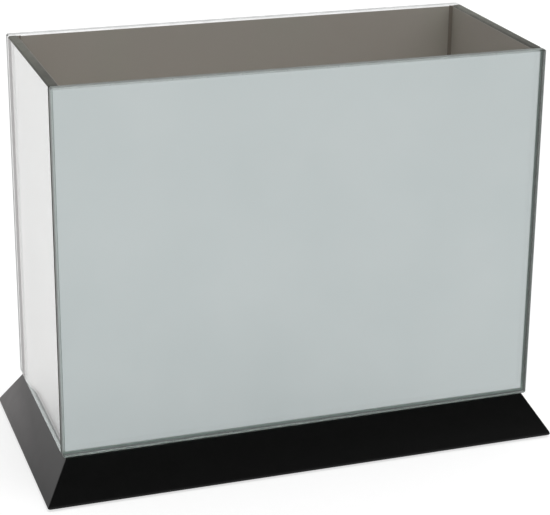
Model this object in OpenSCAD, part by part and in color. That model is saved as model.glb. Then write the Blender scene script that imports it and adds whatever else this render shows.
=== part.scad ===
// Open-topped box of silvered mirror glass, bonded to a bevelled black plinth.
// Millimetres. +X runs along the long side, the front is -Y and +Z is up. The origin is the
// middle of the footprint, on the surface that the foot pads stand on.

/* [Glass box] */
// Outside width of the glass box, along X
box_w = 300; // [200:5:400]
// Outside depth of the glass box, along Y
box_d = 132; // [90:2:200]
// Height of the four mirror panes
box_h = 225; // [150:5:320]
// Thickness of the mirror glass
glass_t = 6; // [4:0.5:8]
// Thickness of the clear pane that closes the bottom
floor_t = 6; // [4:0.5:8]
// Width of the ground chamfer along every glass edge
arris = 0.9; // [0.6:0.1:1.6]
// Thickness of the silvering and its backing paint
paint_t = 0.2; // [0.1:0.05:0.4]

/* [Silicone] */
// Thickness of the silicone between one pane and the next
joint_gap = 0.5; // [0.3:0.1:1]
// Width that a bead covers on each pane, past the joint and the pane's chamfer
bead_cover = 0.5; // [0.25:0.25:3]
// How far the upright joints stop below the rim
bead_stop = 0.5; // [0.5:0.5:10]

/* [Plinth] */
// Height of the plinth
plinth_h = 25; // [16:1:40]
// How far the glass overhangs the top of the plinth
overhang = 2; // [0:0.5:3.5]
// How far each bevel runs out between the top and the foot of the plinth
bevel_run = 16; // [6:1:30]
// Radius of the eased edge along the foot of the bevels
foot_round = 1.5; // [0.5:0.25:3]
// Radius of the eased edge along the top of the bevels
top_round = 0.5; // [0.2:0.1:1]
// Radius of the four foot corners, seen from above
corner_round = 4; // [1:0.5:6]

/* [Bedding tape] */
// Thickness of the foam tape between the glass box and the plinth
tape_t = 1; // [0.5:0.25:2]
// Width of the tape
tape_w = 19; // [12:1:24]
// How far the tape is set back from the face of the glass
tape_setback = 4; // [3.5:0.5:5]
// Gap where the end of one strip meets the side of the next
tape_gap = 0.5; // [0.2:0.1:2]

/* [Foot pads] */
// Diameter of a felt foot pad
pad_d = 20; // [12:1:28]
// Thickness of a felt foot pad
pad_t = 1; // [1:0.25:4]
// Distance from the foot edge of the plinth to the rim of a pad
pad_margin = 10; // [6:1:30]

/* [Hidden] */
// Straight steps in each eased edge and in each bead's hollow
arc_steps = 8;
// Distance from a bead's corner to the centre of its hollow, in legs of the bead
hollow_centre = 1.6;
$fn = 64;

// Heights in the stack, from the ground up
tape_z = pad_t + plinth_h;
box_z = tape_z + tape_t;
floor_top_z = box_z + floor_t;
rim_z = box_z + box_h;

// The cavity between the painted faces of the panes
wall_t = glass_t + paint_t;
cavity_w = box_w - 2 * wall_t;
cavity_d = box_d - 2 * wall_t;

// The side panes and the bottom pane fit in the cavity with silicone round their edges
inner_w = cavity_w - 2 * joint_gap;
inner_d = cavity_d - 2 * joint_gap;

// A bead fills the joint and the chamfer beside it, and then covers the face of the pane
bead_leg = joint_gap + arris + bead_cover;

// Outline of the plinth at its top and at its foot
plinth_top_w = box_w - 2 * overhang;
plinth_top_d = box_d - 2 * overhang;
plinth_w = plinth_top_w + 2 * bevel_run;
plinth_d = plinth_top_d + 2 * bevel_run;

// Middle of a foot pad
pad_x = plinth_w / 2 - pad_margin - pad_d / 2;
pad_y = plinth_d / 2 - pad_margin - pad_d / 2;

// ---- Outlines ----

function unit(v) = v / norm(v);

// Arc of radius r that eases the corner b of an outline whose points run a, b, c
function eased_corner(a, b, c, r) =
    let (
        to_a = unit(a - b),
        to_c = unit(c - b),
        half = acos(to_a * to_c) / 2,
        centre = b + unit(to_a + to_c) * r / sin(half),
        first = b + to_a * r / tan(half) - centre,
        last = b + to_c * r / tan(half) - centre,
        turn = atan2(first[0] * last[1] - first[1] * last[0], first * last),
        start = atan2(first[1], first[0])
    )
    [for (i = [0:arc_steps]) centre + r * [cos(start + turn * i / arc_steps), sin(start + turn * i / arc_steps)]];

// Section of the plinth across one pair of bevels, standing on the x axis
module bevelled_section(top, foot) {
    right_foot = [foot / 2, 0];
    left_foot = [-foot / 2, 0];
    right_top = [top / 2, plinth_h];
    left_top = [-top / 2, plinth_h];
    polygon([
        each eased_corner(left_foot, right_foot, right_top, foot_round),
        each eased_corner(right_foot, right_top, left_top, top_round),
        each eased_corner(right_top, left_top, left_foot, top_round),
        each eased_corner(left_top, left_foot, right_foot, foot_round)
    ]);
}

// A rectangle about the origin with its corners cut off at 45 degrees by the arris
module arrised_rectangle(w, h) {
    x = w / 2;
    y = h / 2;
    polygon([
        [arris - x, -y], [x - arris, -y], [x, arris - y], [x, y - arris],
        [x - arris, y], [arris - x, y], [-x, y - arris], [-x, arris - y]
    ]);
}

// A rectangle about the origin with round corners
module rounded_rectangle(w, d, r) {
    union() {
        square([w - 2 * r, d], center = true);
        square([w, d - 2 * r], center = true);
        for (x = [r - w / 2, w / 2 - r], y = [r - d / 2, d / 2 - r])
            translate([x, y]) circle(r);
    }
}

// The hollow-faced fillet of a bead in the corner at the origin, with a leg along each axis
module fillet() {
    c = hollow_centre * bead_leg;
    r = norm([c, c - bead_leg]);
    start = atan2(-c, bead_leg - c);
    turn = atan2(bead_leg - c, -c) - start;
    polygon([
        [0, 0],
        for (i = [0:arc_steps]) [c, c] + r * [cos(start + turn * i / arc_steps), sin(start + turn * i / arc_steps)]
    ]);
}

// ---- Solids that repeat ----

// Runs an outline along Y for a length, about the origin, with its y axis pointing up
module along_y(length) {
    translate([0, length / 2, 0]) rotate([90, 0, 0]) linear_extrude(length) children();
}

// Runs an outline along X in the same way
module along_x(length) {
    rotate([0, 0, 90]) along_y(length) children();
}

// A sheet of glass about the origin, w by t in plan and h high, with every edge arrised
module sheet(w, t, h) {
    intersection() {
        translate([0, 0, -h / 2]) linear_extrude(h) arrised_rectangle(w, t);
        along_y(t) arrised_rectangle(w, h);
        along_x(w) arrised_rectangle(t, h);
    }
}

// An upright mirror pane of length w, with its glass face on the plane y = 0 and its back at y = glass_t
module mirror_glass(w) {
    color([0.74, 0.77, 0.77])
        translate([0, glass_t / 2, box_z + box_h / 2]) sheet(w, glass_t, box_h);
}

// The paint on the back of that pane, which stops where the pane's chamfers start
module backing_paint(w) {
    color([0.47, 0.45, 0.43])
        translate([0, glass_t + paint_t / 2, box_z + box_h / 2])
            cube([w - 2 * arris, paint_t, box_h - 2 * arris], center = true);
}

// Sets what is drawn as a front or back pane, or as a side pane, in its place
module at_front() { translate([0, -box_d / 2, 0]) children(); }
module at_back() { rotate([0, 0, 180]) at_front() children(); }
module at_left() { rotate([0, 0, -90]) translate([0, -box_w / 2, 0]) children(); }
module at_right() { rotate([0, 0, 180]) at_left() children(); }

// Silicone between the end of the left pane and the back of the front one, with the bead inside.
// It stops at the outer chamfers of the panes, so that a fine groove shows there.
module front_left_seal() {
    color([0.31, 0.30, 0.27]) {
        translate([-box_w / 2, -cavity_d / 2, box_z]) linear_extrude(box_h - bead_stop)
            polygon([
                [arris, 0], [wall_t, 0], [wall_t, joint_gap + arris], [glass_t, joint_gap + arris],
                [glass_t - arris, joint_gap], [arris, joint_gap]
            ]);
        translate([-cavity_w / 2, -cavity_d / 2, floor_top_z]) linear_extrude(rim_z - bead_stop - floor_top_z)
            fillet();
    }
}

// One strip of bedding tape under a wall, drawn as the front one
module tape_strip(length) {
    color([0.09, 0.09, 0.09])
        translate([-length / 2, tape_setback, tape_z]) cube([length, tape_w, tape_t]);
}

module foot_pad(x, y) {
    color([0.13, 0.13, 0.13]) translate([x, y, 0]) cylinder(h = pad_t, d = pad_d);
}

// ---- Sub-parts ----

// Lacquered board, bevelled on all four sides, with eased edges and rounded foot corners
module plinth() {
    color([0.06, 0.06, 0.06])
        translate([0, 0, pad_t]) intersection() {
            along_y(plinth_d) bevelled_section(plinth_top_w, plinth_w);
            along_x(plinth_w) bevelled_section(plinth_top_d, plinth_d);
            linear_extrude(plinth_h) rounded_rectangle(plinth_w, plinth_d, corner_round);
        }
}

module foot_pad_front_left() { foot_pad(-pad_x, -pad_y); }
module foot_pad_front_right() { foot_pad(pad_x, -pad_y); }
module foot_pad_back_left() { foot_pad(-pad_x, pad_y); }
module foot_pad_back_right() { foot_pad(pad_x, pad_y); }

// The long strips run the whole width and the short ones fit between them
long_tape = box_w - 2 * tape_setback;
short_tape = box_d - 2 * (tape_setback + tape_w + tape_gap);
module bedding_tape_front() { at_front() tape_strip(long_tape); }
module bedding_tape_back() { at_back() tape_strip(long_tape); }
module bedding_tape_left() { at_left() tape_strip(short_tape); }
module bedding_tape_right() { at_right() tape_strip(short_tape); }

module floor_pane() {
    color([0.70, 0.80, 0.77])
        translate([0, 0, box_z + floor_t / 2]) sheet(inner_w, inner_d, floor_t);
}

// The front and back panes run the whole width and cover the ends of the side panes
module front_mirror() { at_front() mirror_glass(box_w); }
module back_mirror() { at_back() mirror_glass(box_w); }
module left_mirror() { at_left() mirror_glass(inner_d); }
module right_mirror() { at_right() mirror_glass(inner_d); }

module front_backing_paint() { at_front() backing_paint(box_w); }
module back_backing_paint() { at_back() backing_paint(box_w); }
module left_backing_paint() { at_left() backing_paint(inner_d); }
module right_backing_paint() { at_right() backing_paint(inner_d); }

module joint_seal_front_left() { front_left_seal(); }
module joint_seal_front_right() { mirror([1, 0, 0]) front_left_seal(); }
module joint_seal_back_left() { mirror([0, 1, 0]) front_left_seal(); }
module joint_seal_back_right() { rotate([0, 0, 180]) front_left_seal(); }

// Silicone round the edge of the bottom pane, with a bead on top that meets the upright ones
module floor_seal() {
    color([0.31, 0.30, 0.27]) {
        difference() {
            translate([-cavity_w / 2, -cavity_d / 2, box_z]) cube([cavity_w, cavity_d, floor_t]);
            floor_pane();
        }
        difference() {
            translate([0, 0, floor_top_z]) {
                for (turn = [0, 180])
                    rotate([0, 0, turn]) {
                        translate([-cavity_w / 2, 0, 0]) along_y(cavity_d) fillet();
                        translate([0, -cavity_d / 2, 0]) along_x(cavity_w) fillet();
                    }
            }
            joint_seal_front_left();
            joint_seal_front_right();
            joint_seal_back_left();
            joint_seal_back_right();
        }
    }
}

plinth();
foot_pad_front_left();
foot_pad_front_right();
foot_pad_back_left();
foot_pad_back_right();
bedding_tape_front();
bedding_tape_back();
bedding_tape_left();
bedding_tape_right();
floor_pane();
front_mirror();
back_mirror();
left_mirror();
right_mirror();
front_backing_paint();
back_backing_paint();
left_backing_paint();
right_backing_paint();
joint_seal_front_left();
joint_seal_front_right();
joint_seal_back_left();
joint_seal_back_right();
floor_seal();
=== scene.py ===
"""Mirrored glass display box on a bevelled black plinth: finishes, light and camera."""
import math
from collections import namedtuple

import bmesh
import bpy
from mathutils import Matrix, Vector


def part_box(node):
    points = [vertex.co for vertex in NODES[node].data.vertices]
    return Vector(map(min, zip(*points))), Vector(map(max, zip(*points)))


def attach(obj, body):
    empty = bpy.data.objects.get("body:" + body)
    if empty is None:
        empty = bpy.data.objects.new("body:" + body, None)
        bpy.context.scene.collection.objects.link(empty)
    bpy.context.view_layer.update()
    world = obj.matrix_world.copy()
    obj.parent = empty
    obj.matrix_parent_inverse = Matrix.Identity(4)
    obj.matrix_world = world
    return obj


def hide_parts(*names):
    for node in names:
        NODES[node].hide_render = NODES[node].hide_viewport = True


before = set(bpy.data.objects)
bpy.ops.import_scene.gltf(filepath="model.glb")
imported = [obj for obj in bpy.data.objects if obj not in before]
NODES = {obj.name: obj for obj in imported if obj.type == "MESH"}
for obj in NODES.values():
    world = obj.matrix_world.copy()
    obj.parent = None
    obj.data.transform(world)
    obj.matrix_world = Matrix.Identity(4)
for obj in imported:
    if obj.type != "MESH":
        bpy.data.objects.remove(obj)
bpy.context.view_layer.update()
MM = 0.001
TO_THE_RIGHT = Vector((1, 0, 0))
TO_THE_BACK = Vector((0, 1, 0))
UP = Vector((0, 0, 1))
AXES = [TO_THE_RIGHT, TO_THE_BACK, UP]

# ---- Sizes of the visible pieces, beside those that the frame gives ----

ARRIS = 0.9 * MM                # chamfer ground along the edges of the glass
STONED_SHARE = 0.2              # the chamfer along the foot of the side panes, as a share of it
BARE_MARGIN = 1.85 * MM         # how far the silver stops short of the edges of its pane
FILM_GAP = 0.02 * MM            # keeps a pane's silvered face off the paint behind it
OVERHANG = 2.0 * MM             # how far the glass stands out over the top of the plinth
FOOT_EASE = 2.70 * MM           # how far the rounding of the plinth's foot runs up each side of it
SHARP_FOOT = 1.05 * MM          # how much further out the foot would reach unrounded
TOP_SHARE = 0.10                # the same rounding along the top of the bevels, as a share of the foot's
MITRE_SHARE = 0.28              # and where two bevels meet
EASE_STEPS = 6                  # facets in each rounding
SMOOTH_ANGLE = math.radians(30)     # facets that meet at less than this shade as one surface
NEAR = 0.1 * MM                 # two places closer than this count as one

# ---- Camera, in front of the box, to its left and above it ----

CAMERA_PLACE = Vector((-0.33875, -1.00608, 0.51782))
CAMERA_AZIMUTH = math.radians(18.73)
CAMERA_DIP = math.radians(20.01)
CAMERA_ROLL = math.radians(0.506)
CAMERA_LENS = 118.17
CAMERA_SHIFT = -0.0509


def add_camera():
    """A camera turned by its azimuth to the right, its dip and its roll."""
    data = bpy.data.cameras.new("camera")
    data.lens = CAMERA_LENS
    data.sensor_width = 36.0
    data.shift_y = CAMERA_SHIFT
    camera = bpy.data.objects.new("camera", data)
    bpy.context.scene.collection.objects.link(camera)
    forward = Vector((
        math.sin(CAMERA_AZIMUTH) * math.cos(CAMERA_DIP),
        math.cos(CAMERA_AZIMUTH) * math.cos(CAMERA_DIP),
        -math.sin(CAMERA_DIP),
    ))
    level = forward.cross(UP).normalized()
    upright = level.cross(forward)
    across = level * math.cos(CAMERA_ROLL) + upright * math.sin(CAMERA_ROLL)
    up = upright * math.cos(CAMERA_ROLL) - level * math.sin(CAMERA_ROLL)
    turn = Matrix((across, up, -forward)).transposed()
    camera.matrix_world = Matrix.Translation(CAMERA_PLACE) @ turn.to_4x4()
    bpy.context.scene.camera = camera


# ---- Node helpers ----

NOISE_LOW = 0.3                         # nearly all values of a noise lie between these two
NOISE_HIGH = 0.7
GLASS_SHADE = (0.84, 0.89, 0.88, 1)     # what a pane leaves of the light that falls through it


def shader(name):
    """A new material with its node tree and its Principled shader."""
    material = bpy.data.materials.new(name)
    material.use_nodes = True
    tree = material.node_tree
    return material, tree, tree.nodes["Principled BSDF"]


def object_noise(tree, scale, detail, stretch=(1, 1, 1)):
    """Noise on the piece's own coordinates, in metres, stretched along its axes."""
    place = tree.nodes.new("ShaderNodeTexCoord")
    mapping = tree.nodes.new("ShaderNodeMapping")
    mapping.inputs["Scale"].default_value = stretch
    noise = tree.nodes.new("ShaderNodeTexNoise")
    noise.inputs["Scale"].default_value = scale
    noise.inputs["Detail"].default_value = detail
    tree.links.new(place.outputs["Object"], mapping.inputs["Vector"])
    tree.links.new(mapping.outputs["Vector"], noise.inputs["Vector"])
    return noise.outputs["Fac"]


def ramp(tree, value, stops):
    """Colours between the stops, each a position and a linear colour."""
    node = tree.nodes.new("ShaderNodeValToRGB")
    while len(node.color_ramp.elements) < len(stops):
        node.color_ramp.elements.new(0.5)
    for element, (position, colour) in zip(node.color_ramp.elements, stops):
        element.position = position
        element.color = (*colour, 1)
    tree.links.new(value, node.inputs["Fac"])
    return node.outputs["Color"]


def tones(tree, noise, darker, lighter, low=NOISE_LOW, high=NOISE_HIGH):
    """Colours from darker, where the noise is low, to lighter, where it is high."""
    return ramp(tree, noise, [(low, darker), (high, lighter)])


def scaled(tree, value, start, end, at_start, at_end, smooth=False):
    """Turns the value's range from start to end into at_start to at_end, and stays there outside of
    it. At_start may be another node's output."""
    node = tree.nodes.new("ShaderNodeMapRange")
    node.interpolation_type = "SMOOTHSTEP" if smooth else "LINEAR"
    node.inputs["From Min"].default_value = start
    node.inputs["From Max"].default_value = end
    if isinstance(at_start, bpy.types.NodeSocket):
        tree.links.new(at_start, node.inputs["To Min"])
    else:
        node.inputs["To Min"].default_value = at_start
    node.inputs["To Max"].default_value = at_end
    tree.links.new(value, node.inputs["Value"])
    return node.outputs["Result"]


def span(tree, noise, low, high):
    """The noise's middle range spread between low and high."""
    return scaled(tree, noise, NOISE_LOW, NOISE_HIGH, low, high)


def coordinates(tree, kind="Object"):
    """The X, Y and Z of the place, or of the normal, in the piece's own coordinates. In the world
    the place is a direction."""
    place = tree.nodes.new("ShaderNodeTexCoord")
    split = tree.nodes.new("ShaderNodeSeparateXYZ")
    tree.links.new(place.outputs[kind], split.inputs["Vector"])
    return split.outputs


def dimmed(tree, colour, share):
    """The colour times the share."""
    node = tree.nodes.new("ShaderNodeVectorMath")
    node.operation = "SCALE"
    tree.links.new(colour, node.inputs[0])
    tree.links.new(share, node.inputs["Scale"])
    return node.outputs["Vector"]


def combined(tree, operation, first, second):
    """Two values put together by the operation."""
    node = tree.nodes.new("ShaderNodeMath")
    node.operation = operation
    tree.links.new(first, node.inputs[0])
    tree.links.new(second, node.inputs[1])
    return node.outputs["Value"]


def add_bump(tree, principled, height, strength, depth):
    """Bumps from the height, this deep where it is 1."""
    bump = tree.nodes.new("ShaderNodeBump")
    bump.inputs["Strength"].default_value = strength
    bump.inputs["Distance"].default_value = depth
    tree.links.new(height, bump.inputs["Height"])
    tree.links.new(bump.outputs["Normal"], principled.inputs["Normal"])


def let_light_in(tree, glass):
    """Lets the light of lamps and room through the glass to what lies under it, a little dimmed."""
    output = tree.nodes["Material Output"]
    path = tree.nodes.new("ShaderNodeLightPath")
    opening = tree.nodes.new("ShaderNodeBsdfTransparent")
    opening.inputs["Color"].default_value = GLASS_SHADE
    either = tree.nodes.new("ShaderNodeMixShader")
    tree.links.new(path.outputs["Is Shadow Ray"], either.inputs["Fac"])
    tree.links.new(glass.outputs["BSDF"], either.inputs[1])
    tree.links.new(opening.outputs["BSDF"], either.inputs[2])
    tree.links.new(either.outputs["Shader"], output.inputs["Surface"])


# ---- Materials ----

GLASS_IOR = 1.52
GLASS_GREEN = (0.95, 1.05, 0.99)    # colour of the glass, seen through its edge
FAINT_GREEN = (0.99, 1.01, 1.00)    # the same through less glass
GREY_SLURRY = (1.03, 1.03, 0.90)    # an edge greyed by the dust of its grinding
CLOUDINESS = 0.15                   # how much darker and lighter the clouds of worked glass are
FOOT_LIGHT_FULL_TO = 2 * MM                # height over the foot of the glass up to which the sealer is painted lighter in full, a painted light at the foot
FOOT_LIGHT_GONE_AT = 12 * MM               # and from which it has its own tone again
PAINTED_LIGHT_DEPTH = 65 * MM                  # how far below the rim the paint starts to get darker towards it: painted light further down, against the shade deep in the box
PAINTED_TOP_SHADE = (0.22, 0.21, 0.20, 1)   # colour painted on the faces of the paint that look up, the top edge of the film: a painted shade


def clear_glass():
    """Pale green float glass, with the faint haze of a wiped surface."""
    material, tree, glass = shader("clear_glass")
    glass.inputs["Transmission Weight"].default_value = 1.0
    glass.inputs["IOR"].default_value = GLASS_IOR
    clouds = object_noise(tree, scale=16, detail=5)
    tint = tones(tree, clouds, (0.872, 0.933, 0.926), (0.910, 0.964, 0.956))
    tree.links.new(tint, glass.inputs["Base Color"])
    haze = span(tree, object_noise(tree, scale=35, detail=4), low=0.0, high=0.012)
    tree.links.new(haze, glass.inputs["Roughness"])
    let_light_in(tree, glass)
    return material


# How worked glass looks: its lightness, how much of it comes through the glass and not from the matt
# surface, how much it shines, its tint, and how much lighter its back end is than its middle and darker
# its front end, a painted light and shade along the pane
Look = namedtuple("Look", "tone through gloss tint fade", defaults=(1.0, 0.5, GLASS_GREEN, 0.0))


def worked_glass(name, look, roughness, grain_size, cloud_size):
    """Glass whose surface was worked matt."""
    material, tree, glass = shader(name)
    glass.inputs["Transmission Weight"].default_value = look.through
    glass.inputs["Specular IOR Level"].default_value = look.gloss
    glass.inputs["IOR"].default_value = GLASS_IOR
    darker = tuple(look.tone * (1 - CLOUDINESS) * part for part in look.tint)
    lighter = tuple(look.tone * (1 + CLOUDINESS) * part for part in look.tint)
    clouds = tones(tree, object_noise(tree, cloud_size, detail=4), darker, lighter)
    # Painted light and shade along the pane: lighter towards its back end, darker towards its front end
    front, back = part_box("front_mirror")[0].y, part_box("back_mirror")[1].y
    depth = coordinates(tree)["Y"]
    share = scaled(tree, depth, front, back, 1 - look.fade, 1 + look.fade, smooth=True)
    tree.links.new(dimmed(tree, clouds, share), glass.inputs["Base Color"])
    grain = object_noise(tree, grain_size, detail=3)
    tree.links.new(span(tree, grain, *roughness), glass.inputs["Roughness"])
    ripple = object_noise(tree, 3 * cloud_size, detail=2)
    add_bump(tree, glass, ripple, strength=0.35, depth=0.3 * MM)
    let_light_in(tree, glass)
    return material


def ground_edge(name, look):
    """The flat edges of a pane, ground and left matt."""
    return worked_glass("ground_edge_" + name, look, roughness=(0.42, 0.54),
                        grain_size=2600, cloud_size=140)


def satin_arris(name, look):
    """The chamfers of a pane, taken off with a fine belt that leaves them satin."""
    return worked_glass("satin_arris_" + name, look, roughness=(0.26, 0.38),
                        grain_size=1800, cloud_size=120)


def edge_sealer(name, foot_light_share):
    """Dark sealer, brushed on the bare glass between the silver and the edge of a pane. At the foot it
    is painted lighter by the share, a painted light."""
    material, tree, sealer = shader("edge_sealer_" + name)
    brushed = object_noise(tree, scale=210, detail=3)
    tone = tones(tree, brushed, (0.32, 0.384, 0.352), (0.37, 0.434, 0.402))
    # Painted light at the foot of the pane: the sealer is lighter there by the share, fading out higher
    # up
    height, foot = coordinates(tree)["Z"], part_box("front_mirror")[0].z
    lit_at_foot = scaled(tree, height, foot + FOOT_LIGHT_FULL_TO, foot + FOOT_LIGHT_GONE_AT, foot_light_share, 1.0, smooth=True)
    tree.links.new(dimmed(tree, tone, lit_at_foot), sealer.inputs["Base Color"])
    tree.links.new(span(tree, brushed, low=0.5, high=0.65), sealer.inputs["Roughness"])
    return material


def silvering():
    """Chemical silver on the back of the glass, with the slow waviness of float glass."""
    material, tree, silver = shader("silvering")
    silver.inputs["Metallic"].default_value = 1.0
    clouds = object_noise(tree, scale=14, detail=3)
    tone = tones(tree, clouds, (0.915, 0.92, 0.915), (0.93, 0.935, 0.93))
    tree.links.new(tone, silver.inputs["Base Color"])
    haze = span(tree, object_noise(tree, scale=60, detail=4), low=0.012, high=0.03)
    tree.links.new(haze, silver.inputs["Roughness"])
    waves = object_noise(tree, scale=7, detail=1)
    add_bump(tree, silver, waves, strength=0.05, depth=0.2 * MM)
    return material


def backing_paint():
    """Matt grey-brown mirror paint, poured on in a curtain, with a faint cloudiness. It is painted a
    little lighter further down and darker towards the rim, painted light and shade for how deep in the
    box it lies, and its faces that look up, the top edge of the film, are painted dark, a painted shade."""
    material, tree, paint = shader("backing_paint")
    clouds = object_noise(tree, scale=26, detail=5, stretch=(1, 1, 0.6))
    tone = ramp(tree, clouds, [
        (0.3, (0.496, 0.459, 0.411)),
        (0.5, (0.502, 0.470, 0.424)),
        (0.7, (0.494, 0.472, 0.419)),
    ])
    # Painted light: the paint is lighter further down the box and darker towards the rim, against the
    # shade deep in the box
    height, rim = coordinates(tree)["Z"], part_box("back_mirror")[1].z
    painted_light_deep = scaled(tree, height, rim - PAINTED_LIGHT_DEPTH, rim, 1.10, 0.94, smooth=True)
    # Painted shade: the faces of the paint that look up, the top edge of the film, are painted dark
    facing_up = coordinates(tree, "Normal")["Z"]
    top_shade_mask = scaled(tree, facing_up, start=0.5, end=0.9, at_start=0.0, at_end=1.0)
    top_shaded = tree.nodes.new("ShaderNodeMixRGB")
    tree.links.new(top_shade_mask, top_shaded.inputs["Fac"])
    tree.links.new(dimmed(tree, tone, painted_light_deep), top_shaded.inputs["Color1"])
    top_shaded.inputs["Color2"].default_value = PAINTED_TOP_SHADE
    tree.links.new(top_shaded.outputs["Color"], paint.inputs["Base Color"])
    grain = object_noise(tree, scale=900, detail=3)
    tree.links.new(span(tree, grain, low=0.5, high=0.68), paint.inputs["Roughness"])
    add_bump(tree, paint, grain, strength=0.12, depth=0.05 * MM)
    return material


def silicone():
    """Dark, slightly glossy silicone, smoothed with a tool."""
    material, tree, seal = shader("silicone")
    clouds = object_noise(tree, scale=90, detail=3)
    tone = tones(tree, clouds, (0.235, 0.21, 0.178), (0.288, 0.256, 0.219))
    tree.links.new(tone, seal.inputs["Base Color"])
    smears = object_noise(tree, scale=300, detail=3)
    tree.links.new(span(tree, smears, low=0.32, high=0.5), seal.inputs["Roughness"])
    ripple = object_noise(tree, scale=240, detail=2)
    add_bump(tree, seal, ripple, strength=0.2, depth=0.1 * MM)
    return material


def black_lacquer():
    """Sprayed satin lacquer, with a fine orange peel and a little dust in it."""
    material, tree, lacquer = shader("black_lacquer")
    lacquer.inputs["IOR"].default_value = 1.5
    lacquer.inputs["Specular IOR Level"].default_value = 0.42
    dust = object_noise(tree, scale=420, detail=4)
    tone = tones(tree, dust, (0.0020, 0.0021, 0.0020), (0.0034, 0.0035, 0.0034), low=0.35, high=0.75)
    tree.links.new(tone, lacquer.inputs["Base Color"])
    sheen = object_noise(tree, scale=120, detail=2)
    tree.links.new(span(tree, sheen, low=0.31, high=0.34), lacquer.inputs["Roughness"])
    peel = object_noise(tree, scale=650, detail=2)
    add_bump(tree, lacquer, peel, strength=0.1, depth=0.03 * MM)
    return material


def foam():
    """Closed-cell black foam."""
    material, tree, tape = shader("foam")
    cells = object_noise(tree, scale=1500, detail=2)
    tone = tones(tree, cells, (0.004, 0.004, 0.004), (0.012, 0.012, 0.012), low=0.35, high=0.65)
    tree.links.new(tone, tape.inputs["Base Color"])
    tree.links.new(span(tree, cells, low=0.8, high=0.95), tape.inputs["Roughness"])
    add_bump(tree, tape, cells, strength=0.5, depth=0.2 * MM)
    return material


def felt():
    """Pressed dark felt."""
    material, tree, pad = shader("felt")
    fibres = object_noise(tree, scale=1200, detail=6, stretch=(1, 1, 3))
    tone = tones(tree, fibres, (0.010, 0.010, 0.011), (0.028, 0.028, 0.030))
    tree.links.new(tone, pad.inputs["Base Color"])
    tree.links.new(span(tree, fibres, low=0.85, high=1.0), pad.inputs["Roughness"])
    add_bump(tree, pad, fibres, strength=0.6, depth=0.3 * MM)
    return material


GLASS = clear_glass()
# Two copies of the sealer, painted lighter at the foot by different shares: painted light
SEALER = edge_sealer("long_panes", foot_light_share=1.8)
SIDE_SEALER = edge_sealer("side_panes", foot_light_share=2.5)
SILVER = silvering()
PAINT = backing_paint()
SILICONE = silicone()
LACQUER = black_lacquer()
FOAM = foam()
FELT = felt()


# ---- Modelling helpers ----

def start_block(name, low, high):
    """A cube primitive that fills the box from low to high, left as the active object."""
    bpy.ops.object.select_all(action="DESELECT")
    bpy.ops.mesh.primitive_cube_add(size=1.0, location=(low + high) / 2)
    block = bpy.context.object
    block.name = name
    block.data.name = name
    block.scale = high - low
    bpy.ops.object.transform_apply(location=True, rotation=True, scale=True)
    return block


def select_in_edit(piece, kind, wanted):
    """Selects the piece's faces, edges or verts for which wanted is true. The piece is in edit mode."""
    bpy.ops.mesh.select_all(action="DESELECT")
    bpy.ops.mesh.select_mode(type=kind)
    form = bmesh.from_edit_mesh(piece.data)
    for part in {"FACE": form.faces, "EDGE": form.edges, "VERT": form.verts}[kind]:
        part.select_set(wanted(part))
    form.select_flush_mode()
    bmesh.update_edit_mesh(piece.data)


def weigh_edges(piece, wanted, weight):
    """Gives the edges for which wanted is true a share of the width of the bevel to come."""
    select_in_edit(piece, "EDGE", wanted)
    bpy.ops.transform.edge_bevelweight(value=weight)


def bevel_by_weight(piece, name, width, segments):
    """Bevels the piece's weighted edges. The piece is in object mode."""
    bevel = piece.modifiers.new(name, "BEVEL")
    bevel.limit_method = "WEIGHT"
    bevel.width = width
    bevel.segments = segments
    bpy.ops.object.modifier_apply(modifier=bevel.name)


def assign(slot_number):
    """Gives the selected faces a material slot."""
    bpy.context.object.active_material_index = slot_number
    bpy.ops.object.material_slot_assign()


def finish_piece(piece, cad_node, materials):
    """Gives the piece its materials and puts it in the frame in place of its CAD node."""
    for material in materials:
        piece.data.materials.append(material)
    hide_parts(cad_node)
    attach(piece, "root")


SQUARE_ON = 0.99    # part of a normal that lies along a direction, for a face square to it
SLANT = 0.1         # and for a face that slopes towards it


def looks_along(face, direction):
    """True for a face square to the direction that looks the same way."""
    return face.normal.dot(direction) > SQUARE_ON


def run_alike(axis, other):
    """True for two axes that run the same way or opposite ways."""
    return abs(axis.dot(other)) > SQUARE_ON


def lies_below(edge, height):
    """True for an edge wholly below the height."""
    return all(v.co.z < height for v in edge.verts)


def lies_above(edge, height):
    """True for an edge wholly above the height."""
    return all(v.co.z > height for v in edge.verts)


# ---- Glass ----

# A pane's material slots, after slot 0, where every face starts and the chamfers above the foot stay
GLASS_SLOT, EDGE_SLOT, SEALER_SLOT, SILVER_SLOT, FOOT_SLOT = range(1, 6)


def arrised_pane(name, low, high, is_stoned=lambda edge: False):
    """A block of glass with a flat chamfer ground along all its edges. Where is_stoned is true, the
    edge was only taken off with a stone."""
    pane = start_block(name, low, high)
    bpy.ops.object.mode_set(mode="EDIT")
    weigh_edges(pane, lambda edge: not is_stoned(edge), 1.0)
    weigh_edges(pane, is_stoned, STONED_SHARE)
    bpy.ops.object.mode_set(mode="OBJECT")
    bevel_by_weight(pane, "chamfers", ARRIS, segments=1)
    return pane


def assign_flat_sides(pane, clear_axis):
    """Makes the two sides along the axis clear glass and the pane's other flat sides ground edges."""
    for axis in AXES:
        select_in_edit(pane, "FACE", lambda face: looks_along(face, axis) or looks_along(face, -axis))
        assign(GLASS_SLOT if run_alike(axis, clear_axis) else EDGE_SLOT)


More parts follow.
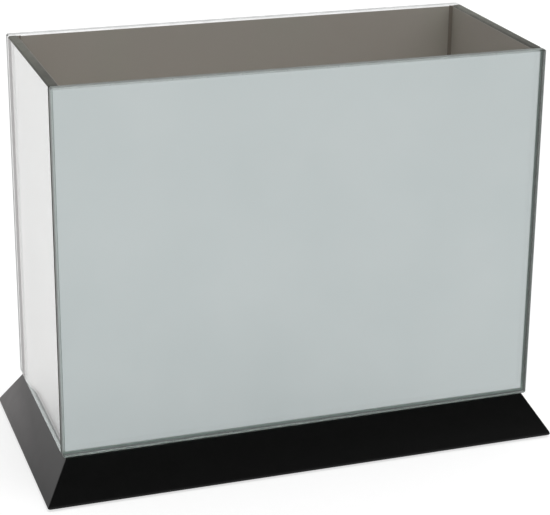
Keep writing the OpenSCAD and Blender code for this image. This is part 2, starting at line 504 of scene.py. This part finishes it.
def mirror_pane(name, inward, edge_look, arris_look, foot_look, silver_moves):
    """A pane silvered on the face that looks inward, with its flat edges ground. An edge of the silver
    may be moved out by a distance, or in by a negative one. A side pane was hardly chamfered at its foot
    and left polished under it. Its back end has the look of the foot's chamfers. The lightness of these
    looks is painted light and shade, set for each pane."""
    node = name + "_mirror"
    low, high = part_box(node)
    is_side_pane = run_alike(inward, TO_THE_RIGHT)
    is_stoned = lambda edge: is_side_pane and lies_below(edge, low.z + NEAR)
    pane = arrised_pane(node + "_glass", low, high, is_stoned)
    edge, arris = ground_edge(name, edge_look), satin_arris(name, arris_look)
    foot_arris = satin_arris(name + "_foot", foot_look)
    sealer = SIDE_SEALER if is_side_pane else SEALER
    finish_piece(pane, node, [arris, GLASS, edge, sealer, SILVER, foot_arris])
    bpy.ops.object.mode_set(mode="EDIT")
    assign_flat_sides(pane, inward)
    select_in_edit(pane, "FACE", lambda face: -SQUARE_ON < face.normal.z < -SLANT)
    assign(FOOT_SLOT)
    if is_side_pane:
        select_in_edit(pane, "FACE", lambda face: face.normal.y > SLANT and face.normal.z < SLANT)
        assign(FOOT_SLOT)
        select_in_edit(pane, "FACE", lambda face: looks_along(face, -UP))
        assign(GLASS_SLOT)
    looks_inward = lambda face: looks_along(face, inward)
    select_in_edit(pane, "FACE", looks_inward)
    assign(SEALER_SLOT)
    bpy.ops.mesh.inset(thickness=BARE_MARGIN - ARRIS)
    assign(SILVER_SLOT)
    for side, distance in silver_moves:
        reach = max(low.dot(side), high.dot(side)) - BARE_MARGIN - NEAR
        on_silver = lambda v: any(face.material_index == SILVER_SLOT for face in v.link_faces)
        select_in_edit(pane, "VERT", lambda v: on_silver(v) and v.co.dot(side) > reach)
        bpy.ops.transform.translate(value=side * distance)
    select_in_edit(pane, "FACE", looks_inward)
    bpy.ops.transform.translate(value=inward * -FILM_GAP)
    bpy.ops.object.mode_set(mode="OBJECT")


def bottom_pane():
    """The clear pane that closes the bottom, a hair smaller than its bed of silicone."""
    low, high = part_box("floor_pane")
    hair = Vector((FILM_GAP, FILM_GAP, FILM_GAP))
    pane = arrised_pane("floor_pane_glass", low + hair, high - hair)
    edge, arris = ground_edge("floor", Look(0.5)), satin_arris("floor", Look(0.66))
    finish_piece(pane, "floor_pane", [arris, GLASS, edge])
    bpy.ops.object.mode_set(mode="EDIT")
    assign_flat_sides(pane, UP)
    bpy.ops.object.mode_set(mode="OBJECT")


# Looks for the ground edges and chamfers, lighter and darker from pane to pane as painted light and
# shade. The foot chamfers of the front and back panes are painted darker, a painted shade.
SHADED_FOOT_CHAMFER = Look(0.24)
# The foot and back end of the side panes are painted near white, a painted light.
LIT_SIDE_FOOT = Look(0.95, through=0.1)
# The ground edges of the side panes are painted near black, a painted shade, with painted light towards
# their back ends.
SHADED_SIDE_EDGE = Look(0.135, through=0.25, gloss=0.0, tint=GREY_SLURRY, fade=0.3)
FRONT_SILVER_MOVES = [(UP, 0.4 * MM), (TO_THE_RIGHT, -0.4 * MM), (-UP, -0.4 * MM)]
SIDE_SILVER_MOVES = [(-UP, 0.9 * MM), (TO_THE_BACK, 0.8 * MM)]

# Each pane has its own copies of the ground edge and chamfer: near white on the back pane as painted
# light, mid grey on the front pane, near black on the side panes as painted shade.
mirror_pane("front", TO_THE_BACK, edge_look=Look(0.60, through=0.9), arris_look=Look(0.50),
            foot_look=SHADED_FOOT_CHAMFER, silver_moves=FRONT_SILVER_MOVES)
mirror_pane("back", -TO_THE_BACK, edge_look=Look(0.9, through=0.5, tint=FAINT_GREEN),
            arris_look=Look(0.92, tint=FAINT_GREEN), foot_look=SHADED_FOOT_CHAMFER, silver_moves=[])
mirror_pane("left", TO_THE_RIGHT, edge_look=SHADED_SIDE_EDGE, arris_look=SHADED_SIDE_EDGE,
            foot_look=LIT_SIDE_FOOT, silver_moves=SIDE_SILVER_MOVES)
mirror_pane("right", -TO_THE_RIGHT, edge_look=SHADED_SIDE_EDGE, arris_look=SHADED_SIDE_EDGE,
            foot_look=LIT_SIDE_FOOT, silver_moves=SIDE_SILVER_MOVES)
bottom_pane()


# ---- Plinth ----

def lacquered_plinth():
    """A block drawn in at the top to make the four bevels, with its edges eased."""
    low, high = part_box("plinth")
    sharp = Vector((SHARP_FOOT, SHARP_FOOT, 0))
    low, high = low - sharp, high + sharp
    front_low, front_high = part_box("front_mirror")
    back_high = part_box("back_mirror")[1]
    board = start_block("plinth_board", low, high)
    top_width = front_high.x - front_low.x - 2 * OVERHANG
    top_depth = back_high.y - front_low.y - 2 * OVERHANG
    bpy.ops.object.mode_set(mode="EDIT")
    select_in_edit(board, "FACE", lambda face: looks_along(face, UP))
    bpy.ops.transform.resize(value=(top_width / (high.x - low.x), top_depth / (high.y - low.y), 1))
    is_foot = lambda edge: lies_below(edge, low.z + NEAR)
    is_top = lambda edge: lies_above(edge, high.z - NEAR)
    weigh_edges(board, is_foot, 1.0)
    weigh_edges(board, is_top, TOP_SHARE)
    weigh_edges(board, lambda edge: not is_foot(edge) and not is_top(edge), MITRE_SHARE)
    bpy.ops.object.mode_set(mode="OBJECT")
    bevel_by_weight(board, "eased edges", FOOT_EASE, EASE_STEPS)
    bpy.ops.object.shade_smooth_by_angle(angle=SMOOTH_ANGLE)
    finish_piece(board, "plinth", [LACQUER])


lacquered_plinth()


# ---- CAD pieces that keep their own shape ----

KEPT = {"backing_paint": PAINT, "seal": SILICONE, "tape": FOAM, "foot_pad": FELT}
for name, piece in NODES.items():
    for word, material in KEPT.items():
        if word in name:
            piece.data.materials.clear()
            piece.data.materials.append(material)


# ---- Studio ----

FLOOR_SIZE = 12.0                       # side of the studio floor
FLOOR_COLOUR = (0.42, 0.42, 0.42, 1)
FLOOR_SEEN = (0.655, 0.655, 0.655, 1)   # own brightness of the floor to the camera
FLOOR_FRONT = (0.186, 0.199, 0.208)     # the same in the mirrors, in front of the object
FLOOR_BACK = (0.555, 0.521, 0.522)      # and behind it
FLOOR_TURN = 0.15                       # how far to the front and back it goes from one to the other

ROOM_LIGHT_LOW = 0.35           # light on the object from all round, at floor level
ROOM_LIGHT_HIGH = 1.05          # and from straight above
RIGHT_SHARE = 0.4               # how much stronger it is from the right, and weaker from the left
ROOM_FRONT_LOW = 0.4            # the camera's side of the room at floor level, in reflections
ROOM_FRONT_HIGH = 0.03          # and above
ROOM_RISE = 0.5                 # height, as part of the direction, where it is as dark as that
ROOM_BACK = 1.0                 # the backdrop, in reflections
ROOM_TURN = 0.25                # part of the direction within which front and back blend


def in_mirrors(tree, path):
    """1 for what the mirrors and the glass show, 0 for the light itself."""
    return combined(tree, "MAXIMUM", path.outputs["Is Glossy Ray"], path.outputs["Is Transmission Ray"])


def studio_floor():
    """A pale floor. Seen straight on it is white with the object's shadow on it; in the mirrors it
    falls off from the bright side behind the object towards the front."""
    bpy.ops.object.select_all(action="DESELECT")
    bpy.ops.mesh.primitive_plane_add(size=FLOOR_SIZE, location=(0, 0, 0))
    floor = bpy.context.object
    floor.name = "studio_floor"
    material, tree, matt = shader("studio_floor")
    matt.inputs["Base Color"].default_value = FLOOR_COLOUR
    matt.inputs["Roughness"].default_value = 1.0
    matt.inputs["Specular IOR Level"].default_value = 0.0
    depth = coordinates(tree)["Y"]
    fall = scaled(tree, depth, -FLOOR_TURN, FLOOR_TURN, 0.0, 1.0, smooth=True)
    tone = ramp(tree, fall, [(0.0, FLOOR_FRONT), (1.0, FLOOR_BACK)])
    path = tree.nodes.new("ShaderNodeLightPath")
    to_camera = path.outputs["Is Camera Ray"]
    seen = tree.nodes.new("ShaderNodeMixRGB")
    tree.links.new(to_camera, seen.inputs["Fac"])
    tree.links.new(tone, seen.inputs["Color1"])
    seen.inputs["Color2"].default_value = FLOOR_SEEN
    glow = tree.nodes.new("ShaderNodeEmission")
    tree.links.new(seen.outputs["Color"], glow.inputs["Color"])
    shown = combined(tree, "MAXIMUM", in_mirrors(tree, path), to_camera)
    tree.links.new(shown, glow.inputs["Strength"])
    both = tree.nodes.new("ShaderNodeAddShader")
    tree.links.new(matt.outputs["BSDF"], both.inputs[0])
    tree.links.new(glow.outputs["Emission"], both.inputs[1])
    tree.links.new(both.outputs["Shader"], tree.nodes["Material Output"].inputs["Surface"])
    floor.data.materials.append(material)


def either_strength(tree, switch, off, on):
    """The strength off where the switch is 0, and on where it is 1."""
    node = tree.nodes.new("ShaderNodeMix")
    node.data_type = "FLOAT"
    tree.links.new(switch, node.inputs["Factor"])
    tree.links.new(off, node.inputs["A"])
    if isinstance(on, bpy.types.NodeSocket):
        tree.links.new(on, node.inputs["B"])
    else:
        node.inputs["B"].default_value = on
    return node.outputs["Result"]


def studio_world():
    """Soft light on the object, stronger from above and from the right. To the camera the room is
    white, and in reflections it is white behind the object and dark on the camera's side."""
    world = bpy.data.worlds.new("studio")
    bpy.context.scene.world = world
    world.use_nodes = True
    tree = world.node_tree
    room = tree.nodes["Background"]
    room.inputs["Color"].default_value = (1, 1, 1, 1)
    direction = coordinates(tree)
    from_above = scaled(tree, direction["Z"], 0, 1, ROOM_LIGHT_LOW, ROOM_LIGHT_HIGH)
    from_right = scaled(tree, direction["X"], -1, 1, 1 - RIGHT_SHARE, 1 + RIGHT_SHARE)
    light = combined(tree, "MULTIPLY", from_above, from_right)
    front = scaled(tree, direction["Z"], 0, ROOM_RISE, ROOM_FRONT_LOW, ROOM_FRONT_HIGH, smooth=True)
    reflection = scaled(tree, direction["Y"], -ROOM_TURN, ROOM_TURN, front, ROOM_BACK, smooth=True)
    path = tree.nodes.new("ShaderNodeLightPath")
    unseen = either_strength(tree, in_mirrors(tree, path), light, reflection)
    strength = either_strength(tree, path.outputs["Is Camera Ray"], unseen, 1.0)
    tree.links.new(strength, room.inputs["Strength"])


def soft_sun(name, direction, strength, spread):
    """A broad even light that shines along the direction. The spread is in degrees."""
    data = bpy.data.lights.new(name, "SUN")
    data.energy = strength
    data.angle = math.radians(spread)
    lamp = bpy.data.objects.new(name, data)
    lamp.rotation_euler = Vector(direction).to_track_quat("-Z", "Y").to_euler()
    bpy.context.scene.collection.objects.link(lamp)


add_camera()
studio_floor()
studio_world()
soft_sun("overhead", (-0.08, 0.12, -1.0), strength=0.7, spread=20)

bpy.context.scene.view_settings.view_transform = "Standard"
